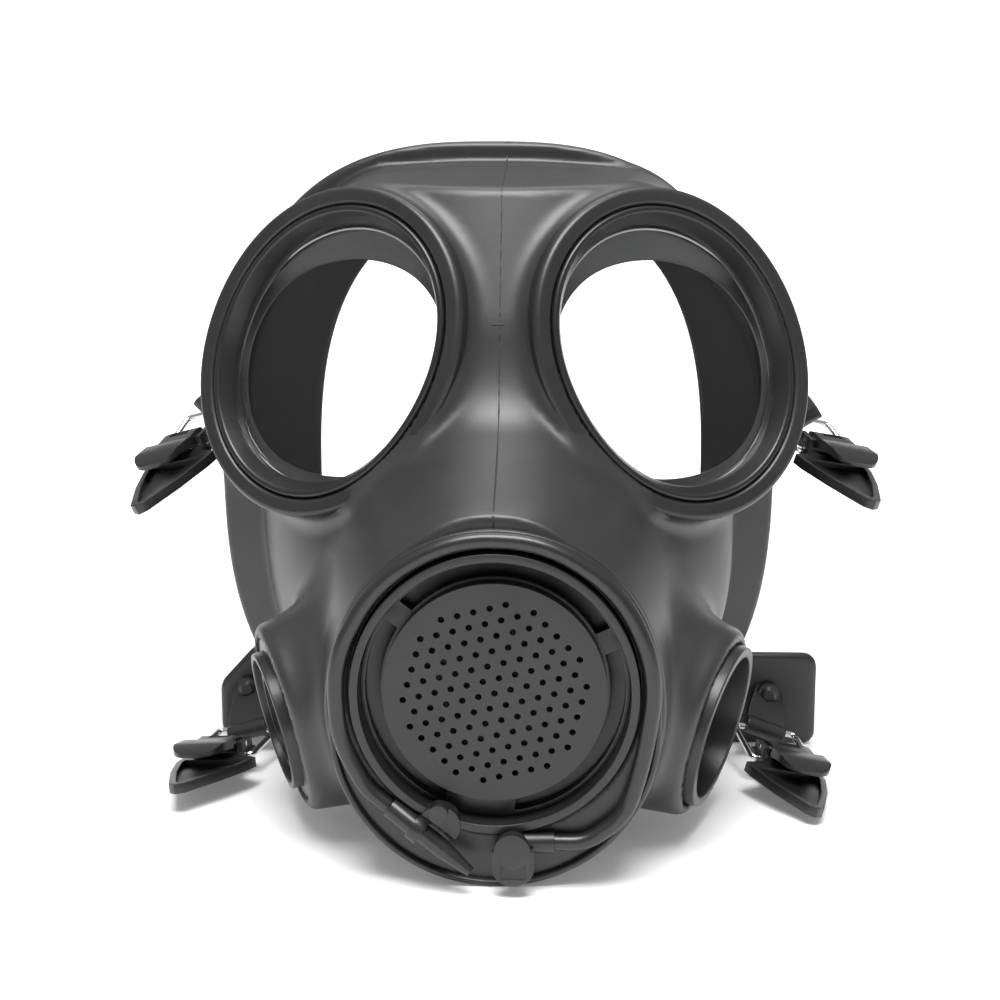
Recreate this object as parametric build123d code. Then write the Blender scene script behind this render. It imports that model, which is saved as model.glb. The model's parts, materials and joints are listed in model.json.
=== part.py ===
from build123d import *
import os
from math import sin, cos, tan, radians, degrees, pi, hypot, atan2

# Full face respirator: moulded rubber facepiece with two round eyepieces, a central
# speech and exhalation module, a threaded filter port on the wearer's left cheek, a side
# speech transmitter on the wearer's right cheek, a drinking tube round the module, and
# four quick-release buckles on wire loops.
# Work frame while building: +X to the wearer's left (the filter port side),
# -Y is the direction the mask faces, +Z up.  Everything is shifted at export so that the
# origin is the centre of the footprint on the ground plane.

os.makedirs("parts", exist_ok=True)

# ---------------------------------------------------------------- driving dimensions (mm)
SHIFT_Y = 0.0              # set below from the finished depth
GROUND_Z = -90.0           # ground plane in the work frame
WALL = 3.0                 # rubber wall of the facepiece
SHELL_C = (0.0, 45.0, 0.0)  # centre of the face shell
SHELL_R = (82.0, 62.0, 95.0)  # half widths of the face shell
REAR_Y = 58.0              # rear edge of the facepiece at the cheeks

EYE_C = (49.04, 0.43, 41.94)  # centre of an eyepiece rim, front plane
EYE_YAW, EYE_PITCH = 27.2, 15.3
RING_IN = 5.0              # groove inside the rubber bead
RING_W = 5.0               # width of the sloping clamp ring
LENS_T = 2.2

MX, MZ = 1.0, -37.4        # module axis
CUP_R, CUP_BORE = 36.8, 34.6
CUP_FRONT, CUP_FLOOR, CUP_BACK = -62.0, -51.0, -34.0
COVER_R, COVER_FRONT = 28.6, -59.6
HOLE_R, HOLE_PITCH = 0.85, 4.2
TUBE_R, TUBE_PATH_R, TUBE_Y = 2.2, 39.2, -60.4

PORT_C = (62.25, -22.05, -58.46)  # lip centre of the filter port
PORT_YAW, PORT_PITCH = 70.2, -12.6
THREAD_R = 20.0            # 40 mm respirator filter thread, minor radius
PORT_LIP_R = 22.9
PORT_BOSS_R = 26.6
THREAD_L = 13.0

WIRE_R = 1.0
DK = (5.7, -62.5, -77.2)     # axis of the turning drink lever, parallel to Y
DRINK_HUB_R, DRINK_SHAFT_R = 4.0, 2.4
STUD_R = 3.4


def direction(yaw, pitch):
    return Vector(sin(radians(yaw)) * cos(radians(pitch)), -cos(radians(yaw)) * cos(radians(pitch)), sin(radians(pitch)))


def frame_at(c, yaw, pitch):
    return Plane(origin=c, x_dir=(cos(radians(yaw)), sin(radians(yaw)), 0), z_dir=direction(yaw, pitch))


EYE = frame_at(EYE_C, EYE_YAW, EYE_PITCH)
PORT = frame_at(PORT_C, PORT_YAW, PORT_PITCH)
# module frame: local z points out of the mask (-Y), local x = +X, local y = +Z
MOD = Plane(origin=(MX, 0, MZ), x_dir=(1, 0, 0), z_dir=(0, -1, 0))


def m_right(s):
    return mirror(s, about=Plane.YZ)


def rim_r(t):
    """Outline of an eyepiece rim; a slightly lopsided round, angle from outward towards up."""
    return 44.28 - 2.08 * cos(2 * t) - 2.15 * sin(2 * t) - 0.17 * cos(3 * t) + 0.21 * sin(3 * t)


def eye_face(delta, off, n=28):
    pts = [((rim_r(t) + delta) * cos(t), (rim_r(t) + delta) * sin(t)) for t in [2 * pi * i / n for i in range(n)]]
    w = Spline(*[Vector(x, y, 0) for x, y in pts], periodic=True)
    return (EYE * Pos(0, 0, off)) * make_face(w)


SIGHT = [(0, 34.4), (36, 31.6), (60, 29.4), (90, 27.8), (120, 30.0), (150, 32.4), (180, 33.4), (215, 33.4), (250, 34.2), (272, 34.2), (304, 35.6), (330, 36.0)]


def sight_face(off):
    """Opening in the rubber behind the lens: flatter at the brow, round below."""
    w = Spline(*[Vector(r * cos(radians(a)) + 0.5, r * sin(radians(a)), 0) for a, r in SIGHT], periodic=True)
    return (EYE * Pos(0, 0, off)) * make_face(w)


def prism(face, depth, d):
    return extrude(face, amount=depth, dir=d)


EYE_N = direction(EYE_YAW, EYE_PITCH)


def eye_prism(delta, o1, o2):
    """Prism of the rim outline between two offsets along the eyepiece axis (o1 > o2)."""
    return extrude(eye_face(delta, o1), amount=o1 - o2, dir=-EYE_N)


def mcyl(r, y_front, y_back):
    """Cylinder on the module axis between two y values."""
    return MOD * Pos(0, 0, -(y_front + y_back) / 2) * Cylinder(r, abs(y_back - y_front))


def mcone(r_front, r_back, y_front, y_back):
    return MOD * Pos(0, 0, -(y_front + y_back) / 2) * Cone(r_back, r_front, abs(y_back - y_front))


def pcyl(r, o1, o2):
    return PORT * Pos(0, 0, (o1 + o2) / 2) * Cylinder(r, o1 - o2)


def pcone(r_out, r_in, o1, o2):
    return PORT * Pos(0, 0, (o1 + o2) / 2) * Cone(r_in, r_out, o1 - o2)


def ellipsoid(c, r):
    return Pos(*c) * scale(Sphere(1), by=r)


def fillet_safe(s, edges, r):
    try:
        return fillet(edges, r)
    except Exception:
        return s


parts = {}

# ---------------------------------------------------------------- facepiece
outer = ellipsoid(SHELL_C, SHELL_R)
eye_boss = eye_prism(0, 0, -34)
chin = Pos(MX, 0, 0) * (Plane(origin=(0, -30, -47.6), x_dir=(1, 0, 0), z_dir=(0, -1, 0)) * Cone(49, 42.2, 56))
snout = mcone(42.2, 54, -58, -4)
boss_r = pcone(PORT_BOSS_R, 34, -6, -44)
outer = outer + eye_boss + m_right(eye_boss) + snout + chin + boss_r + m_right(boss_r)

inner = ellipsoid(SHELL_C, tuple(v - WALL for v in SHELL_R))
eye_in = eye_prism(-4.2, -13, -44)
snout_in = mcone(38.2, 49.5, -38.4, 8)
chin_in = Pos(MX, 0, 0) * (Plane(origin=(0, -12.4, -46.6), x_dir=(1, 0, 0), z_dir=(0, -1, 0)) * Cone(46.0, 39.4, 52))
chin_in = chin_in - (Pos(0, 0, GROUND_Z + 3.2 - 40) * Box(300, 300, 80))
boss_in = pcone(23.4, 31, -20, -50)
inner = inner + eye_in + m_right(eye_in) + snout_in + chin_in + boss_in + m_right(boss_in)

face = outer - inner
# sockets
sight = extrude(sight_face(-9.0), amount=30, dir=-EYE_N)
sight_l = m_right(sight)
face = face - eye_prism(-RING_IN + 0.1, 3, -7.0) - m_right(eye_prism(-RING_IN + 0.1, 3, -7.0))
face = face - eye_prism(-8.0, -6.5, -9.5) - m_right(eye_prism(-8.0, -6.5, -9.5))
face = face - sight - sight_l
face = face - mcyl(CUP_R + 0.1, -70, -41.0) - mcyl(33.1, -50, -20)
face = face - (Pos(DK[0], -60, DK[2]) * Rot(90, 0, 0) * Cylinder(DRINK_HUB_R + 0.1, 4.2)) - (Pos(DK[0], -45, DK[2]) * Rot(90, 0, 0) * Cylinder(DRINK_SHAFT_R + 0.06, 60))
face = face - pcyl(PORT_LIP_R + 0.1, 4, -14) - pcyl(21.4, -10, -30)
face = face - m_right(pcyl(PORT_LIP_R + 0.1, 4, -14)) - m_right(pcyl(21.4, -10, -30))
# rear trim: brow edge, cheek edge, chin edge
rear = Pos(0, REAR_Y + 60, 0) * Box(300, 120, 300)
chin_cut = (Pos(0, 0, GROUND_Z + 0.2 - 40) * Box(300, 300, 80)) + (Pos(0, 24, GROUND_Z) * Rot(34, 0, 0) * Pos(0, 60, -60) * Box(300, 120, 120))
face = face - rear - chin_cut
# rear edge bead at the brow
cheek_lugs = []
for sx, x_out in ((1, 97.0), (-1, 91.5)):
    x_in = 60.0
    w = x_out - x_in
    lug = Pos(sx * (x_in + w / 2), 55.6, (GROUND_Z - 60.0) / 2) * Box(w, 3.2, -60.0 - GROUND_Z)
    lug = fillet(lug.edges().filter_by(Axis.Y).group_by(Axis.X)[-1 if sx > 0 else 0], 4.5)
    cheek_lugs.append(lug)
temple_lugs = []
for sx in (1, -1):
    b = Pos(sx * 81.5, 56.4, 25) * Box(10, 3.0, 14)
    temple_lugs.append(b)
for l in cheek_lugs + temple_lugs:
    face = face + (l - inner)
# raised band along the rear edge over the brow
band = ellipsoid(SHELL_C, (84.5, 64.5, 98.0)) - ellipsoid(SHELL_C, tuple(v - 1.0 for v in SHELL_R))
band = band & (Pos(0, 46.5, 75) * Box(150, 9, 90))
face = face + band
for sx in (1, -1):
    face = face - (Pos(sx * 82.25, 55, -72.5) * Rot(90, 0, 0) * Cylinder(2.0, 30))
    face = face - (Plane(origin=(sx * 83.5, 54.2, 24.0), z_dir=(sx * 0.25, -0.97, 0)) * Cylinder(1.8, 30))
face = max(face.solids(), key=lambda q: q.volume)
parts["facepiece"] = face

# ---------------------------------------------------------------- inner face seal
seal = ellipsoid(SHELL_C, tuple(v - WALL - 0.15 for v in SHELL_R)) - ellipsoid(SHELL_C, tuple(v - WALL - 3.0 for v in SHELL_R))
seal = seal & (Pos(0, 46.5, 0) * Box(300, 22, 300))
seal = seal - chin_cut
seal = seal - eye_in - m_right(eye_in) - chin_in - snout_in
seal = max(seal.solids(), key=lambda s: s.volume)
parts["face_seal"] = seal

# ---------------------------------------------------------------- eyepieces
ring = eye_prism(-RING_IN, 0.6, -6.9) - extrude(eye_face(-RING_IN - RING_W + 0.3, 2), amount=10, dir=-EYE_N)
bevel = loft([eye_face(-RING_IN - 1.4, 0.7), eye_face(-RING_IN - RING_W, -5.6)])
ring = ring - bevel
lens = eye_prism(-8.2, -7.0, -7.0 - LENS_T)
parts["eye_ring_right"] = ring
parts["eye_ring_left"] = m_right(ring)
parts["lens_right"] = lens
parts["lens_left"] = m_right(lens)

# ---------------------------------------------------------------- speech and exhale module
housing = mcyl(CUP_R, CUP_FRONT, CUP_BACK) - mcyl(CUP_BORE, CUP_FRONT - 2, CUP_FLOOR)
housing = housing - mcyl(30.4, CUP_FLOOR + 3.4, CUP_BACK + 2)
# groove round the outside that the rubber socket grips, and a rear spigot for the nut
housing = housing - (mcyl(CUP_R + 2, -41.05, CUP_BACK + 2) - mcyl(33.0, -42, CUP_BACK + 3))
floor_hole = mcyl(14.2, CUP_FLOOR - 1, CUP_FLOOR + 6)
housing = housing - floor_hole
# annular sound window in the floor: six sectors between r 16.4 and r 23.6
win = mcyl(23.6, CUP_FLOOR - 1, CUP_FLOOR + 6) - mcyl(17.6, CUP_FLOOR - 2, CUP_FLOOR + 7)
for i in range(3):
    win = win - (MOD * Rot(0, 0, 60 * i + 14) * Pos(0, 0, -CUP_FLOOR) * Box(80, 3.0, 30))
housing = housing - win
housing = max(housing.solids(), key=lambda s: s.volume)
# raised outlet ring with three arc slots between the cover and the cup wall
outlet = mcyl(CUP_BORE - 0.1, CUP_FLOOR - 4.2, CUP_FLOOR - 2.6) - mcyl(25.9, -80, -20)
slots = mcyl(33.3, -80, -20) - mcyl(29.4, -80, -20)
for a in (24, 142, 263):
    wdt = 18 if a == 263 else 6
    slots = slots - (MOD * Rot(0, 0, a) * Pos(31, 0, 50) * Box(14, wdt, 80))
outlet = outlet - slots
skirt = mcyl(CUP_BORE - 0.1, CUP_FLOOR - 2.7, CUP_FLOOR - 0.05) - mcyl(33.4, -80, -20)
outlet = outlet + skirt
outlet = max(outlet.solids(), key=lambda s: s.volume)
cover = mcyl(COVER_R, COVER_FRONT, CUP_FLOOR - 4.25) - mcyl(COVER_R - 1.6, COVER_FRONT + 1.6, -20)
holes = []
ROT0 = radians(14)
for i in range(-7, 8):
    for j in range(-7, 8):
        x = HOLE_PITCH * (i + j / 2)
        y = HOLE_PITCH * (j * 0.8660254)
        if hypot(x, y) < 24.6:
            holes.append((x * cos(ROT0) - y * sin(ROT0), x * sin(ROT0) + y * cos(ROT0)))
tool = extrude(Sketch() + [Pos(x, y) * Circle(HOLE_R) for x, y in holes], amount=6)
cover = cover - (MOD * Pos(0, 0, -COVER_FRONT - 4) * tool)
print("cover holes", len(holes))
housing = housing - (Pos(DK[0], -60, DK[2]) * Rot(90, 0, 0) * Cylinder(DRINK_HUB_R + 0.1, 12)) - (Pos(DK[0], -50, DK[2]) * Rot(90, 0, 0) * Cylinder(DRINK_SHAFT_R + 0.3, 60))
parts["module_housing"] = housing
parts["outlet_ring"] = outlet
parts["perforated_cover"] = cover
parts["speech_diaphragm"] = mcyl(25.2, CUP_FLOOR - 0.75, CUP_FLOOR - 0.3) - mcyl(15.6, -80, -20)
parts["diaphragm_ring"] = mcyl(25.8, CUP_FLOOR - 2.4, CUP_FLOOR - 0.8) - mcyl(23.8, -80, -20)
seat = mcyl(14.1, CUP_FLOOR - 0.2, CUP_FLOOR + 3.0) - mcyl(11.4, -80, -20)
spokes = []
for i in range(3):
    seat = seat + ((MOD * Rot(0, 0, 60 * i) * Pos(0, 0, -CUP_FLOOR - 2.2) * Box(23.4, 1.6, 1.6)))
seat = seat + mcyl(3.2, CUP_FLOOR + 0.6, CUP_FLOOR + 3.0) - mcyl(1.55, -80, -20)
seat = seat + (mcyl(15.4, CUP_FLOOR - 0.2 - 0.9, CUP_FLOOR - 0.2) - mcyl(11.4, -80, -20))
parts["exhale_valve_seat"] = max(seat.solids(), key=lambda s: s.volume)
# mushroom flap: thin disc with a stem through the hub
flap = mcyl(13.6, CUP_FLOOR - 2.3, CUP_FLOOR - 1.4) + mcyl(1.45, CUP_FLOOR - 1.5, CUP_FLOOR + 5.4) + mcyl(2.2, CUP_FLOOR + 5.0, CUP_FLOOR + 6.4)
parts["exhale_valve_flap"] = flap
nut = mcyl(36.4, -38.3, -34.6) - mcyl(33.1, -80, -20)
for i in range(4):
    nut = nut - (MOD * Rot(0, 0, 45 + 90 * i) * Pos(35.6, 0, 37) * Box(3, 5, 6))
# the rubber web between housing shoulder and nut is clamped by these two faces
parts["module_nut"] = nut

# ---------------------------------------------------------------- inner half mask
def omask(t):
    """Half-mask body; t shrinks every section."""
    secs = [(-33.4, MX, MZ, 29.9, 29.9), (-24.0, 1.0, -44.0, 35.5, 39.0), (0.0, 0.5, -42.5, 41.0, 41.0), (26.0, 0.0, -38.0, 41.0, 38.0)]
    sk = []
    for k, (y, cx, cz, rx, rz) in enumerate(secs):
        yy = y - (0.5 if (t and k == 0) else 0) + (0.5 if (t and k == 3) else 0)
        sk.append(Plane(origin=(cx, yy, cz), x_dir=(1, 0, 0), z_dir=(0, 1, 0)) * Ellipse(rx - t, rz - t))
    return loft(sk)


cup = omask(0) + mcyl(29.9, -42, -33.3) - omask(2.0) - mcyl(27.9, -60, -33.0)
VC = []
for sx in (1, -1):
    n = Vector(sx * 0.86, -0.32, 0.40).normalized()
    pl = Plane(origin=(sx * 29.5, -10.0, -17.5), x_dir=(0, 1, 0), z_dir=n)
    VC.append(pl)
    cup = cup - (pl * Cylinder(7.6, 14))
cup = max(cup.solids(), key=lambda s: s.volume)
# the drinking tube mouthpiece enters through a round hole low in the cup
CUP_SHAPE = cup - (Pos(DK[0], -30, DK[2]) * Rot(90, 0, 0) * Cylinder(2.9, 40))
seats_all = []
for i, nm in enumerate(("right", "left")):
    pl = VC[i]
    s = (pl * Pos(0, 0, 0.6) * Cylinder(9.4, 1.6)) + (pl * Pos(0, 0, -1.5) * Cylinder(7.4, 3.4)) - (pl * Cylinder(5.9, 14))
    s = s + (pl * Pos(0, 0, -0.6) * Box(12.4, 1.4, 1.4)) + (pl * Pos(0, 0, -0.6) * Box(1.4, 12.4, 1.4))
    s = s + (pl * Pos(0, 0, -0.9) * Cylinder(1.9, 2.0)) - (pl * Cylinder(1.05, 14))
    parts[f"check_seat_{nm}"] = s
    seats_all.append((pl * Pos(0, 0, 0.6) * Cylinder(9.5, 1.8)) + (pl * Cylinder(7.5, 7)))
    d = (pl * Pos(0, 0, -3.9) * Cylinder(6.9, 0.7)) + (pl * Pos(0, 0, -1.0) * Cylinder(0.98, 5.6)) + (pl * Pos(0, 0, 2.2) * Cylinder(1.7, 1.4))
    parts[f"check_flap_{nm}"] = d

CUP_SHAPE = CUP_SHAPE - seats_all[0] - seats_all[1] - face
parts["orinasal_cup"] = max(CUP_SHAPE.solids(), key=lambda q: q.volume)

# ---------------------------------------------------------------- filter port (wearer's left)
port = pcyl(PORT_LIP_R, 0, -13.9) - pcyl(THREAD_R, 1, -THREAD_L)
port = port - pcyl(18.2, -10, -20)
port = port - (pcyl(25, 3, -0.0) - pcyl(22.0, 3, -0.0))
parts["filter_port"] = port
pseat = pcyl(20.9, -14.0, -18.6) - pcyl(16.4, -10, -30)
for i in range(3):
    pseat = pseat + (PORT * Rot(0, 0, 60 * i) * Pos(0, 0, -17.5) * Box(33.4, 1.8, 1.6))
pseat = pseat + pcyl(3.4, -16.3, -18.6) - pcyl(1.45, -10, -30)
parts["inlet_valve_seat"] = pseat
parts["inlet_valve_flap"] = pcyl(18.6, -18.9, -19.7) + pcyl(1.37, -13.5, -19.0) + pcyl(2.1, -13.4, -14.2)

# ---------------------------------------------------------------- side speech transmitter (wearer's right)
tb = pcyl(PORT_LIP_R, -3.4, -13.9) - pcyl(17.4, 1, -12.0)
tb = tb + (pcyl(19.4, 0.0, -3.5) - pcyl(17.4, 2, -6))
tb = tb - pcyl(12.0, -10, -20)
ti = pcyl(17.3, -4.6, -6.6) - pcyl(12.6, 0, -10) + (pcyl(14.6, -1.6, -4.7) - pcyl(12.6, 0, -10))
td = pcyl(17.2, -8.6, -9.1)
tg = pcyl(17.3, -6.7, -8.5) - pcyl(14.8, 0, -12)
tp = pcyl(12.4, -3.0, -4.2)
for i in range(6):
    tp = tp - (PORT * Rot(0, 0, 60 * i) * Pos(7.2, 0, -3.6) * Cylinder(1.7, 4))
tp = tp + pcyl(12.5, -4.1, -5.2) - pcyl(10.6, -4.15, -7)
parts["side_transmitter_body"] = m_right(tb)
parts["side_transmitter_ring"] = m_right(ti)
parts["side_transmitter_diaphragm"] = m_right(td)
parts["side_transmitter_spacer"] = m_right(tg)
parts["side_transmitter_cap"] = m_right(tp)

# ---------------------------------------------------------------- drinking tube system
def mpt(r, ang, y):
    return Vector(MX + r * cos(radians(ang)), y, MZ + r * sin(radians(ang)))


hub = Pos(DK[0], -60.9, DK[2]) * Rot(90, 0, 0) * Cylinder(DRINK_HUB_R, 5.9)
spig = Pos(DK[0] + 6.2, -60.4, DK[2] + 0.4) * Rot(0, 90, 0) * Cylinder(2.8, 9.0)
hub = hub + spig
hub = hub - (Pos(DK[0], -60, DK[2]) * Rot(90, 0, 0) * Cylinder(DRINK_SHAFT_R + 0.06, 30))
hub = max(hub.solids(), key=lambda s: s.volume)
parts["drink_elbow"] = hub - face - housing
tube_pts = [Vector(DK[0] + 10.75, TUBE_Y, DK[2] + 0.4), Vector(24.5, TUBE_Y, DK[2] + 0.4), Vector(34.5, TUBE_Y, -69.5)]
tube_pts += [mpt(41.6, a, TUBE_Y) for a in (-24, 8, 40, 72, 104, 136, 168, 197)]
tube_pts += [Vector(MX - 33.0, TUBE_Y, MZ - 25.5), Vector(-26.2, TUBE_Y - 0.4, -67.4)]
radii = []
for i in range(1, len(tube_pts) - 1):
    a, b, c = tube_pts[i - 1], tube_pts[i], tube_pts[i + 1]
    turn = (b - a).get_angle(c - b)
    run = min((b - a).length, (c - b).length)
    radii.append(0.45 * run / tan(radians(turn / 2)))
print("tube radii", [round(r, 1) for r in radii])
path = FilletPolyline(*tube_pts, radius=radii)
tube = sweep(Plane(origin=path @ 0, z_dir=path % 0) * Circle(TUBE_R), path=path)
bore = sweep(Plane(origin=path @ 0, z_dir=path % 0) * Circle(1.3), path=path)
print("tube length", round(path.length, 1), "volume ratio", round(tube.volume / (pi * TUBE_R ** 2 * path.length), 4))
parts["drink_tube"] = tube
# plug on the free end: ferrule, collar and pointed nozzle, lying on the holder boss
e0, e1 = Vector(-26.2, -60.8, -67.4), Vector(-4.6, -65.4, -83.4)
ax = (e1 - e0).normalized()
PL_ = Plane(origin=e0, x_dir=(0, -1, 0), z_dir=ax)
plug = (PL_ * Pos(0, 0, 4.3) * Cylinder(2.9, 7.5)) + (PL_ * Pos(0, 0, 9.5) * Cylinder(3.7, 3.2)) + (PL_ * Pos(0, 0, 14.5) * Cylinder(2.6, 7.2)) + (PL_ * Pos(0, 0, 22.4) * Cone(2.6, 1.3, 9.0))
parts["drink_plug"] = plug
holder = Pos(-13.0, -60.6, -72.0) * Rot(90, 0, 0) * Cylinder(5.4, 4.4)
holder = holder + (Pos(-13.0, -64.6, -67.4) * Rot(90, 0, 0) * Cylinder(2.4, 4.2))
holder = holder - (PL_ * Pos(0, 0, 13) * Cylinder(3.9, 34))
holder = holder - face - housing
holder = max(holder.solids(), key=lambda s: s.volume)
parts["plug_holder"] = holder
# turning lever: shaft through the hub, U-shaped thumb tab in front, mouthpiece inside
shaft = Pos(DK[0], -45.0, DK[2]) * Rot(90, 0, 0) * Cylinder(DRINK_SHAFT_R, 40.6)
lever = shaft + (Pos(DK[0], -65.45, DK[2]) * Rot(90, 0, 0) * Cylinder(4.6, 2.7))
tab = Pos(DK[0] + 0.3, -65.45, DK[2] - 4.6) * Box(10.8, 2.7, 9.2)
tab = fillet(tab.edges().filter_by(Axis.Y).group_by(Axis.Z)[0], 5.0)
tab = tab - (Pos(DK[0] + 0.3, -67.2, DK[2] - 5.0) * Box(6.4, 1.6, 5.0))
lever = lever + tab
parts["drink_lever"] = lever
mp_path = FilletPolyline(Vector(DK[0], -24.65, DK[2]), Vector(DK[0], -6.0, DK[2]), Vector(DK[0], 2.0, DK[2] + 20), radius=9)
mp = sweep(Plane(origin=mp_path @ 0, z_dir=mp_path % 0) * Circle(2.3), path=mp_path)
parts["mouthpiece_tube"] = mp

# ---------------------------------------------------------------- harness buckles
POSE = {
    "upper_left": dict(o=(-94.3, 49.2, 6.2), x=(-.87, .405, -.265), f=(-.31, -.89, -.33), stud=(-83.5, 54.2, 24.0), sn=(-0.25, -0.97, 0.0)),
    "upper_right": dict(o=(93.8, 51.2, 5.6), x=(-.89, -.40, .205), f=(.35, -.91, -.245), stud=(83.5, 54.2, 24.0), sn=(0.25, -0.97, 0.0)),
    "lower_left": dict(o=(-83.5, 28.5, -86.6), x=(-.955, .265, -.13), f=(-.275, -.955, .065), stud=(-82.3, 53.9, -72.6), sn=(0, -1, 0)),
    "lower_right": dict(o=(82.1, 28.4, -85.6), x=(-.935, -.255, .245), f=(.245, -.965, -.06), stud=(82.2, 53.9, -72.4), sn=(0, -1, 0)),
}
BASE_T = 2.9
JOINT = {}


def bplane(name):
    d = POSE[name]
    f = Vector(*d["f"]).normalized()
    x = Vector(*d["x"])
    x = (x - f * x.dot(f)).normalized()
    m = x.cross(f).normalized()
    return Plane(origin=d["o"], x_dir=tuple(x), z_dir=tuple(m)), x, f, m


studs = []
for name, d in POSE.items():
    pl, x, f, m = bplane(name)
    left = name.endswith("left")
    so = 1 if left else -1           # local +x is outward on the left, inward on the right
    # base plate: pointed tray. local x = width, local y = towards the tip, local z = top
    pts = [(-8.5, 0), (-8.5, 11.5), (-15.5, 14.5), (-15.0, 19.0), (-11.5, 30.0), (-6.3, 42.0), (-4.0, 43.6), (-1.6, 42.4),
           (4.6, 30.0), (8.6, 19.0), (9.0, 14.0), (8.5, 11.5), (8.5, 0)]
    pts = [(so * a, b) for a, b in pts]
    base = pl * extrude(make_face(Polyline(*[Vector(a, b, 0) for a, b in pts], close=True)), amount=BASE_T)
    inn = [(-13.4, 16.6), (-13.0, 19.2), (-9.8, 29.4), (-5.0, 40.6), (-3.9, 41.2), (-3.0, 40.6), (2.8, 29.4), (6.6, 19.0), (6.8, 16.6)]
    inn = [(so * a, b) for a, b in inn]
    tray = pl * Pos(0, 0, 1.2) * extrude(make_face(Polyline(*[Vector(a, b, 0) for a, b in inn], close=True)), amount=4)
    base = base - tray
    base = base - (pl * Pos(0, 5.0, 1.55 + 2) * Box(13.2, 7.0, 4.0))
    # ears that carry the lever pin and the wire ends
    base = base + (pl * Pos(7.6, 5.5, BASE_T + 1.6) * Box(1.8, 7.0, 3.4)) + (pl * Pos(-7.6, 5.5, BASE_T + 1.6) * Box(1.8, 7.0, 3.4))
    base = base - (pl * Pos(0, 5.8, 1.5) * Rot(0, 90, 0) * Cylinder(WIRE_R + 0.06, 40))
    base = base - (pl * Pos(0, 5.5, 4.9) * Rot(0, 90, 0) * Cylinder(0.86, 40))
    base = max(base.solids(), key=lambda s: s.volume)
    parts[f"buckle_base_{name}"] = base
    # lever: cam barrel on the pin, stepped body, rounded thumb end
    prof = [(2.6, 4.6), (3.2, 6.8), (5.6, 7.4), (12.6, 6.9), (13.4, 8.3), (20.0, 8.6), (25.0, 6.9), (25.3, 5.7), (20.0, 6.3), (13.2, 5.2), (8.6, 3.6), (4.4, 3.25), (2.8, 3.6)]
    side = Plane(origin=pl.origin, x_dir=tuple(f), z_dir=tuple(x))
    # side plane: local x = f, local y = z_dir x x_dir = x cross f = m, local z = x
    lev = side * Pos(0, 0, -6.2) * extrude(make_face(Polyline(*[Vector(a, b, 0) for a, b in prof], close=True)), amount=12.4)
    wide = side * Pos(0, 0, -8.2) * extrude(make_face(Polyline(*[Vector(a, b, 0) for a, b in [(13.4, 8.3), (20.0, 8.6), (25.0, 6.9), (25.3, 5.7), (20.0, 6.3), (13.3, 5.4)]], close=True)), amount=16.4)
    lev = lev + wide
    rnd = pl * Pos(0, 16.6, 0) * extrude(RectangleRounded(16.4, 17.6, 6.8), amount=20)
    keep = rnd + (pl * Pos(0, 6, 0) * extrude(Rectangle(20, 20), amount=20))
    lev = lev & keep
    lev = lev - (pl * Pos(0, 5.6, 7.2) * Box(7.0, 3.4, 2.4))
    lev = lev - (pl * Pos(0, 5.5, 4.9) * Rot(0, 90, 0) * Cylinder(0.86, 40))
    lev = max(lev.solids(), key=lambda s: s.volume)
    parts[f"buckle_lever_{name}"] = lev
    parts[f"lever_pin_{name}"] = pl * Pos(0, 5.5, 4.9) * Rot(0, 90, 0) * Cylinder(0.8, 16.6)
    # wire loop: bar in the anchor tab, two arms, ends turned into the base
    L = [(-6.9, 5.8, 1.5), (-10.1, 5.8, 1.5), (-10.1, -13.0, 4.4), (10.1, -13.0, 4.4), (10.1, 5.8, 1.5), (6.9, 5.8, 1.5)]
    wp = [pl.from_local_coords(Vector(*q)) for q in L]
    wpath = FilletPolyline(*wp, radius=1.6)
    wire = sweep(Plane(origin=wpath @ 0, z_dir=wpath % 0) * Circle(WIRE_R), path=wpath)
    parts[f"wire_loop_{name}"] = wire
    bar = pl.from_local_coords(Vector(0, -13.0, 4.4))
    piv = pl.from_local_coords(Vector(0, 5.8, 1.5))
    pin = pl.from_local_coords(Vector(0, 5.5, 4.9))
    # anchor tab: rubber tongue from the stud down to a sleeve round the bar
    st = Vector(*d["stud"])
    sn = Vector(*d["sn"]).normalized()
    u = (st - bar)
    along = u.normalized()
    wx = (x - along * x.dot(along)).normalized()
    tn = wx.cross(along).normalized()
    if tn.dot(Vector(0, -1, 0)) < 0:
        tn = -tn
    tpl = Plane(origin=bar, x_dir=tuple(wx), z_dir=tuple(wx.cross(along).normalized()))
    ln = u.length
    outl = [(-6.4, 0), (6.4, 0), (6.2, 5.0), (4.6, ln), (4.0, ln + 3.4), (0, ln + 4.8), (-4.0, ln + 3.4), (-4.6, ln), (-6.2, 5.0)]
    tongue = tpl * Pos(0, 0, -1.2) * extrude(make_face(Polyline(*[Vector(a, b, 0) for a, b in outl], close=True)), amount=2.4)
    sleeve = Plane(origin=bar, z_dir=tuple(wx)) * Cylinder(2.7, 12.8)
    tabp = tongue + sleeve
    tabp = tabp - (Plane(origin=bar, z_dir=tuple(x)) * Cylinder(WIRE_R + 0.08, 40))
    stp = Plane(origin=tuple(st), z_dir=tuple(sn))
    fat = sweep(Plane(origin=wpath @ 0, z_dir=wpath % 0) * Circle(WIRE_R + 0.3), path=wpath)
    tabp = tabp - (stp * Cylinder(1.75, 40)) - face - (fat - (Plane(origin=bar, z_dir=tuple(x)) * Cylinder(3.4, 15.6)))
    parts[f"anchor_tab_{name}"] = max(tabp.solids(), key=lambda s: s.volume)
    studs.append((stp, name, st, tn))
    JOINT[name] = dict(bar=tuple(bar), piv=tuple(piv), pin=tuple(pin), x=tuple(x), f=tuple(f), m=tuple(m))

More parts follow.
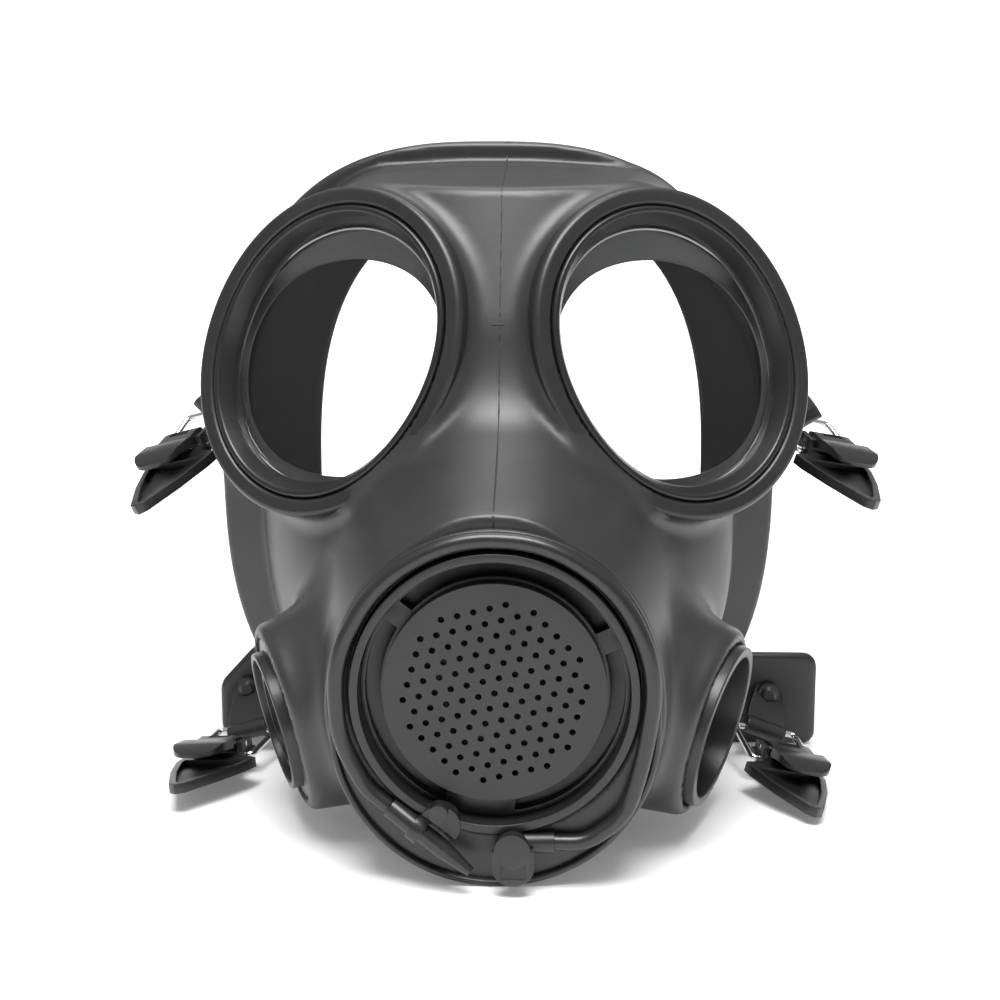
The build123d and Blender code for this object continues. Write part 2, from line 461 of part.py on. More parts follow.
stud_solids = []
for stp, name, st, tn in studs:
    s = (stp * Pos(0, 0, 2.2) * Cylinder(STUD_R, 2.2)) + (stp * Pos(0, 0, 3.4) * Cone(STUD_R, 1.6, 1.4)) + (stp * Pos(0, 0, -1.2) * Cylinder(1.7, 6.0)) + (stp * Pos(0, 0, -5.0) * Cylinder(3.2, 1.6))
    stud_solids.append(s)
parts["harness_studs"] = Compound(children=stud_solids)
# each anchor tab is recessed for its stud
for (stp, name, st, tn), s in zip(studs, stud_solids):
    t = parts[f"anchor_tab_{name}"] - s
    parts[f"anchor_tab_{name}"] = max(t.solids(), key=lambda q: q.volume)
# the rubber lugs close tightly round each stud shaft and its rear head
ff = face
for s in stud_solids:
    ff = ff - s
parts["facepiece"] = max(ff.solids(), key=lambda q: q.volume)

# ---------------------------------------------------------------- write the parts
boxes = [p.bounding_box() for p in parts.values()]
ymin = min(b.min.Y for b in boxes)
ymax = max(b.max.Y for b in boxes)
xmin = min(b.min.X for b in boxes)
xmax = max(b.max.X for b in boxes)
zmin = min(b.min.Z for b in boxes)
print("extent", round(xmin, 3), round(xmax, 3), round(ymin, 3), round(ymax, 3), round(zmin, 3), round(max(b.max.Z for b in boxes), 3))
SHIFT = Vector(-(xmin + xmax) / 2, -(ymin + ymax) / 2, -zmin)
print("shift", SHIFT)
for name, shape in parts.items():
    export_step(Pos(*SHIFT) * shape, f"parts/{name}.step")
for name, j in JOINT.items():
    for k in ("bar", "piv", "pin"):
        j[k] = tuple(round(v, 4) for v in (Vector(*j[k]) + SHIFT))
    print(name, j)
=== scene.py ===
import bpy
import json
import math
import numpy as np
from math import sin, cos, radians, pi, hypot
from mathutils import Vector, Matrix
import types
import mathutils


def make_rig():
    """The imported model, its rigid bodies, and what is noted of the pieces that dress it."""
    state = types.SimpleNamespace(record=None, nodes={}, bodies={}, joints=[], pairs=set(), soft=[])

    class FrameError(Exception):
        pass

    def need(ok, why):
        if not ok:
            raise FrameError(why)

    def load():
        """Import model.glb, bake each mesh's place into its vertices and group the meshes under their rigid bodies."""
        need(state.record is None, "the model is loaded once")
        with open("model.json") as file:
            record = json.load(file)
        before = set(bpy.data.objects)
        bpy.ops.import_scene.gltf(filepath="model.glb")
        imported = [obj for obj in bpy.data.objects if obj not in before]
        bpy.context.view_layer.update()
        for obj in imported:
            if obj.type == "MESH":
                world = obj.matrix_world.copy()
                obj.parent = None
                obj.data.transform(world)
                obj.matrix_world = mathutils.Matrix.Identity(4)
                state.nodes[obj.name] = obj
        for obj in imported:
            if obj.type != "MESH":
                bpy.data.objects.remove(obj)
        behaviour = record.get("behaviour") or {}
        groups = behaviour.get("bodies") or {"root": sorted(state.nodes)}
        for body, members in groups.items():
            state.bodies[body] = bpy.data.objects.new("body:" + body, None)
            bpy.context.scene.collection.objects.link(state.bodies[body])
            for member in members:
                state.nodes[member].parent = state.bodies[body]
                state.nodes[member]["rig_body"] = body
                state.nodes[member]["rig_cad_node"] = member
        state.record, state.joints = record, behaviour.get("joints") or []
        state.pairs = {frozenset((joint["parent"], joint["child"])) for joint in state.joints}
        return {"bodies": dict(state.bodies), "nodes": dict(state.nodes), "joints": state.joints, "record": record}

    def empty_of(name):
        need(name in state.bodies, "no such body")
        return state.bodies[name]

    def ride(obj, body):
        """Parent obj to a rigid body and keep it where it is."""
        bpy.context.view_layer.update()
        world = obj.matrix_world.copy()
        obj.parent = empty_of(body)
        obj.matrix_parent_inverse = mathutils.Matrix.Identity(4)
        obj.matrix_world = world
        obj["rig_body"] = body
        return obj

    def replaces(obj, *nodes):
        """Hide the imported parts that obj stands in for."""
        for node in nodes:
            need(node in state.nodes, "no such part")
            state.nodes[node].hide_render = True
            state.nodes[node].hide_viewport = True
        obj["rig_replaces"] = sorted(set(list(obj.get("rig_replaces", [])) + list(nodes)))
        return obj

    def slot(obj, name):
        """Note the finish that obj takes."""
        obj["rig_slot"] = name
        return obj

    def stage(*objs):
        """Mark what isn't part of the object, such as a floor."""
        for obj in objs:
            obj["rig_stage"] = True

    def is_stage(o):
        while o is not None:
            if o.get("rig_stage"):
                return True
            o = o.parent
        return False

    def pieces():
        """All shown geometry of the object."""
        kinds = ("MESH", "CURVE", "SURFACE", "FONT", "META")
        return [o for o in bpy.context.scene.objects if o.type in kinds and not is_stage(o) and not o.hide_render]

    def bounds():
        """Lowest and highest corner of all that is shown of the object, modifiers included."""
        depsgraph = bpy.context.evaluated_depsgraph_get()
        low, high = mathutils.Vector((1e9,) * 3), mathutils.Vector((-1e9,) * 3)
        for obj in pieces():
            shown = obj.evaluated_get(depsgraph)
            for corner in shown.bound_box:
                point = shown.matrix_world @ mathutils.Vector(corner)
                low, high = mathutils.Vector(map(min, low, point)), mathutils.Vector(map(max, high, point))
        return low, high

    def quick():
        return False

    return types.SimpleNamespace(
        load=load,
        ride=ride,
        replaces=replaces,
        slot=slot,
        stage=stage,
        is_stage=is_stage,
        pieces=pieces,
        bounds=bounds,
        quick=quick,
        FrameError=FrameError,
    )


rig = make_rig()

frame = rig.load()
CAD_LO, CAD_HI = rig.bounds()
CAD_LO, CAD_HI = list(CAD_LO), list(CAD_HI)

# work frame of the design: millimetres, looking direction -Y, ground at z = -90
SH = np.array([0.168846, -0.028579, 90.0])


def row(p):
    return (np.asarray(p, float) + SH) / 1000.0


# ------------------------------------------------------------------ camera first
AZ, EL, DIST = radians(2.33), radians(12.0), 520.0
target = row((0, 0, 0))
cam_pos = row((DIST * sin(AZ) * cos(EL), -DIST * cos(AZ) * cos(EL), DIST * sin(EL)))
cam = bpy.data.objects.new("camera", bpy.data.cameras.new("camera"))
bpy.context.scene.collection.objects.link(cam)
cam.data.sensor_width = 36.0
cam.data.lens = 36.0 * 1855.6 / 1000.0
cam.location = Vector(cam_pos)
cam.rotation_mode = "QUATERNION"
cam.rotation_quaternion = (Vector(target) - Vector(cam_pos)).to_track_quat("-Z", "Y")
cam.data.clip_start, cam.data.clip_end = 0.01, 50.0
bpy.context.scene.camera = cam
bpy.context.scene.view_settings.view_transform = "Standard"


# ------------------------------------------------------------------ materials
def material(name, base, rough=0.5, metallic=0.0, grain=2200.0, bump=0.12, vary=0.25, patch=45.0, rough_vary=0.08, spec=0.5,
             wear=0.0, coat=0.0, transmission=0.0, ior=1.5, sheen=0.0, bump_dist=0.00012, second=None):
    m = bpy.data.materials.new(name)
    m.use_nodes = True
    nt = m.node_tree
    N, L = nt.nodes, nt.links
    b = N["Principled BSDF"]
    b.inputs["Metallic"].default_value = metallic
    b.inputs["Specular IOR Level"].default_value = spec
    b.inputs["IOR"].default_value = ior
    b.inputs["Coat Weight"].default_value = coat
    b.inputs["Transmission Weight"].default_value = transmission
    if sheen:
        b.inputs["Sheen Weight"].default_value = sheen
        b.inputs["Sheen Roughness"].default_value = 0.45
    tc = N.new("ShaderNodeTexCoord")
    big = N.new("ShaderNodeTexNoise")
    big.inputs["Scale"].default_value = patch
    big.inputs["Detail"].default_value = 4.0
    big.inputs["Roughness"].default_value = 0.6
    L.new(tc.outputs["Object"], big.inputs["Vector"])
    fine = N.new("ShaderNodeTexNoise")
    fine.inputs["Scale"].default_value = grain
    fine.inputs["Detail"].default_value = 3.0
    L.new(tc.outputs["Object"], fine.inputs["Vector"])
    ramp = N.new("ShaderNodeValToRGB")
    ramp.color_ramp.elements[0].position = 0.3
    ramp.color_ramp.elements[1].position = 0.72
    lo = [c * (1 - vary) for c in base]
    hi = [min(1.0, c * (1 + vary)) for c in (second or base)]
    ramp.color_ramp.elements[0].color = (*lo, 1)
    ramp.color_ramp.elements[1].color = (*hi, 1)
    mixv = N.new("ShaderNodeMath")
    mixv.operation = "MULTIPLY_ADD"
    mixv.inputs[1].default_value = 0.35
    L.new(fine.outputs["Fac"], mixv.inputs[0])
    sc = N.new("ShaderNodeMath")
    sc.operation = "MULTIPLY"
    sc.inputs[1].default_value = 0.65
    L.new(big.outputs["Fac"], sc.inputs[0])
    L.new(sc.outputs[0], mixv.inputs[2])
    L.new(mixv.outputs[0], ramp.inputs["Fac"])
    col_out = ramp.outputs["Color"]
    if wear:
        geo = N.new("ShaderNodeNewGeometry")
        wr = N.new("ShaderNodeMapRange")
        wr.inputs["From Min"].default_value = 0.53
        wr.inputs["From Max"].default_value = 0.62
        L.new(geo.outputs["Pointiness"], wr.inputs["Value"])
        wm = N.new("ShaderNodeMath")
        wm.operation = "MULTIPLY"
        L.new(wr.outputs["Result"], wm.inputs[0])
        L.new(big.outputs["Fac"], wm.inputs[1])
        wm2 = N.new("ShaderNodeMath")
        wm2.operation = "MULTIPLY"
        wm2.inputs[1].default_value = wear
        wm2.use_clamp = True
        L.new(wm.outputs[0], wm2.inputs[0])
        mx = N.new("ShaderNodeMix")
        mx.data_type = "RGBA"
        mx.inputs["B"].default_value = (*[min(1.0, c * 2.6 + 0.02) for c in base], 1)
        L.new(wm2.outputs[0], mx.inputs["Factor"])
        L.new(col_out, mx.inputs["A"])
        col_out = mx.outputs["Result"]
    L.new(col_out, b.inputs["Base Color"])
    rr = N.new("ShaderNodeMapRange")
    rr.inputs["To Min"].default_value = max(0.02, rough - rough_vary)
    rr.inputs["To Max"].default_value = min(1.0, rough + rough_vary)
    L.new(big.outputs["Fac"], rr.inputs["Value"])
    L.new(rr.outputs["Result"], b.inputs["Roughness"])
    if bump:
        bp = N.new("ShaderNodeBump")
        bp.inputs["Strength"].default_value = bump
        bp.inputs["Distance"].default_value = bump_dist
        L.new(fine.outputs["Fac"], bp.inputs["Height"])
        L.new(bp.outputs["Normal"], b.inputs["Normal"])
    return m


K = 1.0
MAT = {
    "rubber": material("moulded_rubber", (0.022, 0.022, 0.023), 0.38, grain=2600, bump=0.22, vary=0.22, patch=38, rough_vary=0.07, spec=0.5, wear=0.5),
    "rubber_bead": material("rubber_bead", (0.016, 0.016, 0.017), 0.36, grain=2600, bump=0.2, vary=0.2, patch=50, rough_vary=0.06, wear=0.6),
    "inner_rubber": material("inner_rubber", (0.020, 0.020, 0.021), 0.5, grain=2200, bump=0.08, vary=0.3, patch=30, rough_vary=0.08),
    "soft_rubber": material("soft_rubber", (0.045, 0.045, 0.046), 0.5, grain=2000, bump=0.2, vary=0.2, patch=40),
    "tube_rubber": material("tube_rubber", (0.015, 0.015, 0.016), 0.30, grain=1800, bump=0.12, vary=0.2, patch=60),
    "ring_plastic": material("ring_plastic", (0.012, 0.012, 0.013), 0.30, grain=3000, bump=0.1, vary=0.2, patch=60, rough_vary=0.05, wear=0.5),
    "black_plastic": material("black_plastic", (0.014, 0.014, 0.015), 0.34, grain=3200, bump=0.25, vary=0.2, patch=55, rough_vary=0.06, wear=0.6),
    "cover_plastic": material("cover_plastic", (0.009, 0.009, 0.0095), 0.45, grain=3600, bump=0.35, vary=0.2, patch=55, rough_vary=0.06, wear=0.5),
    "buckle_plastic": material("buckle_plastic", (0.013, 0.013, 0.014), 0.34, grain=3000, bump=0.2, vary=0.25, patch=80, rough_vary=0.08, wear=0.8),
    "stud_plastic": material("stud_plastic", (0.032, 0.032, 0.033), 0.42, grain=3000, bump=0.15, vary=0.2, patch=80),
    "film": material("film", (0.010, 0.010, 0.010), 0.5, grain=1500, bump=0.1, vary=0.2),
    "chrome_wire": material("chrome_wire", (0.78, 0.78, 0.79), 0.16, metallic=1.0, grain=4000, bump=0.08, vary=0.06, patch=120, rough_vary=0.05),
    "sight_rubber": material("sight_rubber", (0.045, 0.045, 0.046), 0.30, grain=2600, bump=0.15, vary=0.2, patch=50, rough_vary=0.05),
    "seam_dark": material("seam_dark", (0.006, 0.006, 0.006), 0.6, grain=2600, bump=0.15, vary=0.3, patch=50),
    # painted highlight: a light grey glossy finish on a thin ring, standing in for the glint on the clear lens edge
    "painted_lens_edge_highlight": material("painted_lens_edge_highlight", (0.42, 0.42, 0.43), 0.18, grain=2600, bump=0.02, vary=0.05, patch=50, rough_vary=0.03, coat=0.4),
    "lens_clear": material("lens_clear", (0.98, 0.985, 0.985), 0.02, grain=900, bump=0.0, vary=0.01, transmission=1.0, ior=1.45, rough_vary=0.005),
}


def set_mat(o, m):
    o.data.materials.clear()
    o.data.materials.append(m)


# ------------------------------------------------------------------ mesh helpers
def smooth_by_angle(me, angle=40.0):
    me.shade_smooth()
    me.set_sharp_from_angle(angle=radians(angle))


def build(name, V, F, mat, body, slot, angle=None, raw_row=False):
    """V in work millimetres."""
    V = np.asarray(V, float)
    if not raw_row:
        V = (V + SH) / 1000.0
    me = bpy.data.meshes.new(name)
    me.from_pydata([tuple(v) for v in V], [], [tuple(int(i) for i in f) for f in F])
    me.validate()
    me.update()
    if angle is None:
        me.shade_smooth()
    else:
        smooth_by_angle(me, angle)
    o = bpy.data.objects.new(name, me)
    bpy.context.scene.collection.objects.link(o)
    me.materials.append(mat)
    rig.ride(o, body)
    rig.slot(o, slot)
    return o


def join_meshes(parts):
    V, F, n = [], [], 0
    for v, f in parts:
        V.append(np.asarray(v, float))
        F += [[i + n for i in q] for q in f]
        n += len(v)
    return np.vstack(V), F


def flip(F):
    return [list(reversed(f)) for f in F]


def mirror_x(V):
    V = np.array(V, float)
    V[:, 0] *= -1
    return V


def grid_faces(n, m, close_u=True, close_v=False):
    """n stations along, m profile points; vertex index i*m+j."""
    F = []
    for i in range(n if close_u else n - 1):
        a, b = i, (i + 1) % n
        for j in range(m if close_v else m - 1):
            k = (j + 1) % m
            F.append([a * m + j, b * m + j, b * m + k, a * m + k])
    return F


def round_profile(pts, r=0.5, seg=4, closed=True):
    """Rounds the corners of a 2-D polyline."""
    pts = [np.array(p, float) for p in pts]
    n = len(pts)
    out = []
    for i in range(n):
        p = pts[i]
        rr = r[i] if isinstance(r, (list, tuple)) else r
        if not closed and i in (0, n - 1) or rr <= 0:
            out.append(p)
            continue
        a, b = pts[(i - 1) % n], pts[(i + 1) % n]
        da, db = a - p, b - p
        la, lb = np.linalg.norm(da), np.linalg.norm(db)
        d = min(rr, la * 0.45, lb * 0.45)
        p0, p1 = p + da / la * d, p + db / lb * d
        for k in range(seg + 1):
            t = k / seg
            out.append((1 - t) ** 2 * p0 + 2 * t * (1 - t) * p + t * t * p1)
    return out


# ------------------------------------------------------------------ design numbers
EYE_C = np.array([49.04, 0.43, 41.94])
EYE_YAW, EYE_PITCH = 27.2, 15.3
MX, MZ = 1.0, -37.4
PORT_C = np.array([62.25, -22.05, -58.46])
PORT_YAW, PORT_PITCH = 70.2, -12.6


def axes(yaw, pitch):
    n = np.array([sin(radians(yaw)) * cos(radians(pitch)), -cos(radians(yaw)) * cos(radians(pitch)), sin(radians(pitch))])
    u = np.array([cos(radians(yaw)), sin(radians(yaw)), 0.0])
    return u, np.cross(n, u), n


EU, EV, EN = axes(EYE_YAW, EYE_PITCH)
PU, PV, PN = axes(PORT_YAW, PORT_PITCH)


def rim_r(t):
    return 44.28 - 2.08 * np.cos(2 * t) - 2.15 * np.sin(2 * t) - 0.17 * np.cos(3 * t) + 0.21 * np.sin(3 * t)


def periodic(table):
    """Smooth periodic radius from (degrees, radius) pairs."""
    tb = sorted([((a + 360) % 360, r) for a, r in table])
    A = np.array([a for a, _ in tb], float)
    R = np.array([r for _, r in tb], float)
    A3 = np.concatenate([A - 360, A, A + 360])
    R3 = np.concatenate([R, R, R])
    g = np.arange(0, 360, 1.0)
    r = np.interp(g, A3, R3)
    k = np.exp(-0.5 * (np.arange(-24, 25) / 8.0) ** 2)
    k /= k.sum()
    rr = np.convolve(np.concatenate([r[-24:], r, r[:24]]), k, mode="valid")
    return rr


TAB_A = periodic([(163, 34.6), (149, 35.6), (135, 36.1), (118, 36.6), (97, 35.8), (70, 34.0), (51, 32.9), (20, 33.0), (-22, 34.7), (-39, 36.8), (-56, 37.4),
                  (-74, 37.8), (-92, 37.7), (-109, 35.9), (-120, 34.8), (-133, 33.8), (-151, 33.6), (-171, 33.6), (170, 34.2)])
TAB_B = periodic([(90, 27.5), (70, 28.0), (57, 29.1), (36, 30.8), (15.5, 32.4), (-4.5, 33.8), (-19, 34.6), (-37.5, 36.0), (-56, 36.0), (-68, 34.9), (-87, 33.9),
                  (-109, 34.0), (-133, 33.2), (-151, 33.0), (-171, 32.6), (165, 32.0), (149, 31.4), (130, 30.2), (110, 28.4)])


def lookup(tab, th):
    g = np.degrees(th) % 360
    i = np.floor(g).astype(int) % 360
    f = g - np.floor(g)
    return tab[i] * (1 - f) + tab[(i + 1) % 360] * f


# ------------------------------------------------------------------ rubber facepiece as an implicit surface
def smin(a, b, k):
    h = np.clip(0.5 + 0.5 * (b - a) / k, 0, 1)
    return b * (1 - h) + a * h - k * h * (1 - h)


def smax(a, b, k):
    return -smin(-a, -b, k)


def step01(t):
    t = np.clip(t, 0, 1)
    return t * t * (3 - 2 * t)


def superell(x, y, z, a, c, b, n=2.75, yc=45.0):
    X, Y, Z = np.abs(x) / a, (y - yc) / c, np.abs(z) / b
    g = X ** n + Z ** n + 1e-9
    q = np.sqrt(g ** (2 / n) + Y * Y) + 1e-9
    gx = g ** (2 / n - 1) * X ** (n - 1) / a / q
    gz = g ** (2 / n - 1) * Z ** (n - 1) / b / q
    gy = Y / c / q
    return (q - 1) / np.sqrt(gx * gx + gz * gz + gy * gy + 1e-9)


def local(x, y, z, c, u, v, n, mirror):
    X = -x if mirror else x
    dx, dy, dz = X - c[0], y - c[1], z - c[2]
    return dx * u[0] + dy * u[1] + dz * u[2], dx * v[0] + dy * v[1] + dz * v[2], dx * n[0] + dy * n[1] + dz * n[2]


def rear_x(x, y):
    """The moulded rear edge leans a little to one side."""
    return x + 3.2 * step01((y - 12) / 40)


def smooth_table(z, y, lo=-40.0, hi=120.0, h=0.5, sigma=3.0):
    g = np.arange(lo, hi, h)
    v = np.interp(g, z, y)
    k = np.exp(-0.5 * (np.arange(-24, 25) * h / sigma) ** 2)
    k /= k.sum()
    return g, np.convolve(np.pad(v, 24, mode="edge"), k, mode="valid")


YC_G, YC_V = smooth_table([-20, 3.0, 7.5, 12.0, 18.0, 24.7, 31.0, 40.0, 50.0, 70.0, 86.0, 110.0],
                          [-57, -56.8, -51.5, -41.5, -30.5, -22.5, -17.6, -13.2, -10.6, -2.0, 4.8, 14.0])
YC_D = np.gradient(YC_V, YC_G)
KX_G, KX_V = smooth_table([-20, 12.0, 20.0, 30.0, 40.0, 86.0], [0.036, 0.032, 0.024, 0.014, 0.0075, 0.0075])


def sd_cone(x, y, z, cx, cz, r0, y0, r1, y1, cap=4.0):
    rho = np.hypot(x - cx, z - cz)
    r = r0 + (r1 - r0) * (y - y0) / (y1 - y0)
    sl = (r1 - r0) / (y1 - y0)
    return smax((rho - r) / math.sqrt(1 + sl * sl), y0 - y, cap)


def sd_port(x, y, z, mirror, r0, o0, r1, o1, cap):
    u, v, w = local(x, y, z, PORT_C, PU, PV, PN, mirror)
    rho = np.hypot(u, v)
    r = r0 + (r1 - r0) * (w - o0) / (o1 - o0)
    sl = (r1 - r0) / (o1 - o0)
    return smax(smax((rho - r) / math.sqrt(1 + sl * sl), w - o0, cap), -46 - w, 2.0), rho, w


def side_a(z):
    """Half width of the shell: full at the temples, drawn in at the cheeks."""
    return 71.0 + 13.5 * step01((z + 12) / 34) - 8.0 * step01((z - 28) / 34)


def outer_sd(x, y, z):
    xr = rear_x(x, y)
    shell = superell(xr, y, z, side_a(z), 62.0, 91.5)
    # flared rear edge of the cheeks
    fl = smax(np.abs(y - 47.5 - 0.55 * shell) - 1.7, superell(xr, y, z, 85.2, 400.0, 96.0), 1.5)
    fl = smax(fl, z - 30, 6.0)
    fl = smax(fl, -shell - 3, 1.0)
    # brow and nose bridge in front of the shell
    yc = np.interp(z, YC_G, YC_V)
    dyc = np.interp(z, YC_G, YC_D)
    kx = np.interp(z, KX_G, KX_V)
    front = (yc + kx * x * x - y) / np.sqrt(1 + dyc * dyc + (2 * kx * x) ** 2)
    over = np.clip(np.abs(x) - 34, 0, None)
    top = (z - (86.3 + 0.112 * (y - 5) - 0.028 * over ** 2)) * 0.985
    bridge = smax(front, top, 2.2)
    bridge = smax(bridge, np.abs(x) - 58, 8.0)
    bridge = smax(bridge, y - 50, 4.0)
    bridge = smax(bridge, -8 - z, 6.0)
    body = smin(shell, bridge, 4.0)
    snout = sd_cone(x, y, z, MX, MZ, 42.2, -58.0, 54.0, -4.0, 3.0)
    chin = sd_cone(x, y, z, MX, -47.6, 42.2, -58.0, 49.0, -2.0, 3.0)
    sn = smin(snout, chin, 6.0)
    sn = smax(sn, y - 22, 10.0)
    kk = 7.0 + 9.0 * step01((z + 72) / 50)
    body = smin(body, sn, kk)
    lim = (np.abs(x - 0.5) - (47.5 + 0.72 * (z + 90) + 0.42 * (y + 30))) / 1.3
    body = smax(body, lim, 5.0)
    body = smax(body, -58.2 - y, 1.0)
    for mi in (False, True):
        p, _, _ = sd_port(x, y, z, mi, 26.4, -2.6, 33.5, -44.0, 3.0)
        body = smin(body, p, 4.0 + 6.0 * step01((z + 84) / 30))
    for mi in (False, True):
        u, v, w = local(x, y, z, EYE_C, EU, EV, EN, mi)
        rho = np.hypot(u, v)
        th = np.arctan2(v, u)
        rr = rim_r(th)
        e = smax(rho - rr + 0.2 - 0.02 * np.clip(-w - 8, 0, None), w + 0.9, 1.6)
        e = smax(e, -34 - w, 3.0)
        body = smin(body, e, 5.0)
    # raised rear band over the brow
    band = superell(xr + 1.5, y, z, 79.5, 400.0, 97.8)
    band = smax(band, 42.2 + 0.06 * np.clip(np.abs(x) - 30, 0, None) - y, 1.6)
    band = smax(band, 34 - z, 14.0)
    body = smin(body, band, 1.6)
    body = smin(body, fl, 3.0)
    # harness lugs
    for sx, xo in ((1, 97.3), (-1, 91.3)):
        xi = 58.0
        cxx, hx = sx * (xi + xo) / 2, (xo - xi) / 2
        qx, qz, qy = np.abs(x - cxx) - hx + 4.5, np.abs(z + 75.0) - 15.0 + 4.5, np.abs(y - 55.6) - 1.6
        d2 = np.hypot(np.clip(qx, 0, None), np.clip(qz, 0, None)) + np.minimum(np.maximum(qx, qz), 0) - 4.5
        if sx < 0:
            d2 = smax(d2, (-x - 86.0 + (z + 66.0) * 0.9) * 0.74, 1.5)
        lug = smax(d2, qy, 1.1)
        body = smin(body, lug, 2.5)
    for sx in (1, -1):
        qx, qz, qy = np.abs(x - sx * 81.0) - 6.2, np.abs(z - 25) - 7.5, np.abs(y - 56.2) - 1.7
        body = smin(body, smax(smax(qx, qz, 3.0), qy, 1.0), 2.5)
    return body


def inner_sd(x, y, z):
    xr = rear_x(x, y)
    body = superell(xr, y, z, side_a(z) - 3.1, 59.0, 88.4)
    snout = sd_cone(x, y, z, MX, MZ, 38.2, -38.4, 49.0, 8.0, 3.0)
    chin = smax(sd_cone(x, y, z, MX, -46.6, 39.4, -38.4, 46.0, 13.6, 3.0), -86.6 - z, 3.0)
    body = smin(body, smax(smin(snout, chin, 5.0), y - 24, 8.0), 9.0)
    for mi in (False, True):
        p, _, _ = sd_port(x, y, z, mi, 23.2, -20.0, 30.5, -50.0, 2.0)
        body = smin(body, p, 6.0)
        u, v, w = local(x, y, z, EYE_C, EU, EV, EN, mi)
        rho = np.hypot(u, v)
        th = np.arctan2(v, u)
        e = smax(smax(rho - rim_r(th) + 4.4, w + 13.2, 2.0), -44 - w, 3.0)
        body = smin(body, e, 5.0)
    return body


def face_sd(x, y, z):
    o = outer_sd(x, y, z)
    i = inner_sd(x, y, z)
    d = smax(o, -i, 0.8)
    # eye sockets: seat for the lens and ring, then the sloping sight opening
    for mi in (False, True):
        u, v, w = local(x, y, z, EYE_C, EU, EV, EN, mi)
        rho = np.hypot(u, v)
        th = np.arctan2(v, u)
        rr = rim_r(th)
        ra, rb = lookup(TAB_A, th), lookup(TAB_B, th)
        hole = smax(rho - np.maximum(ra, rb) - 0.9, w + 8.4, 0.5)
        hole = smax(hole, -26 - w, 1.0)
        seat = smax(rho - (rr - 5.3), -9.2 - w, 0.6)
        d = smax(d, -smin(hole, seat, 0.3), 0.7)
    # module socket
    rho = np.hypot(x - MX, z - MZ)
    d = smax(d, -smax(rho - 37.4, y + 41.6, 0.4), 0.6)
    d = smax(d, -smax(rho - 33.1, y + 20.0, 0.4), 0.6)
    # channel for the drinking parts
    d = smax(d, -(np.hypot(x - 5.7, z + 77.2) + np.clip(-y - 70, 0, None) - 2.9), 0.6)
    # port sockets
    for mi in (False, True):
        u, v, w = local(x, y, z, PORT_C, PU, PV, PN, mi)
        rho = np.hypot(u, v)
        d = smax(d, -smax(rho - 23.3, -14.1 - w, 0.4), 0.6)
        d = smax(d, -smax(smax(rho - 21.4, -34 - w, 0.4), w + 8, 0.4), 0.6)
    # rear trim and underside
    d = smax(d, y - 58.0, 1.0)
    d = smax(d, -89.9 - z, 1.0)
    cut = (z + 90) * cos(radians(34)) - (y - 24) * sin(radians(34))
    lugzone = smax(smax(np.abs(np.abs(x) - 79) - 22, np.abs(y - 56) - 4.5, 1.0), z + 58, 1.0)
    d = smax(d, smin(-cut, -lugzone if False else 1e3, 1.0) if False else np.where(lugzone < 0, -1e3, -cut), 0.01)
    return d


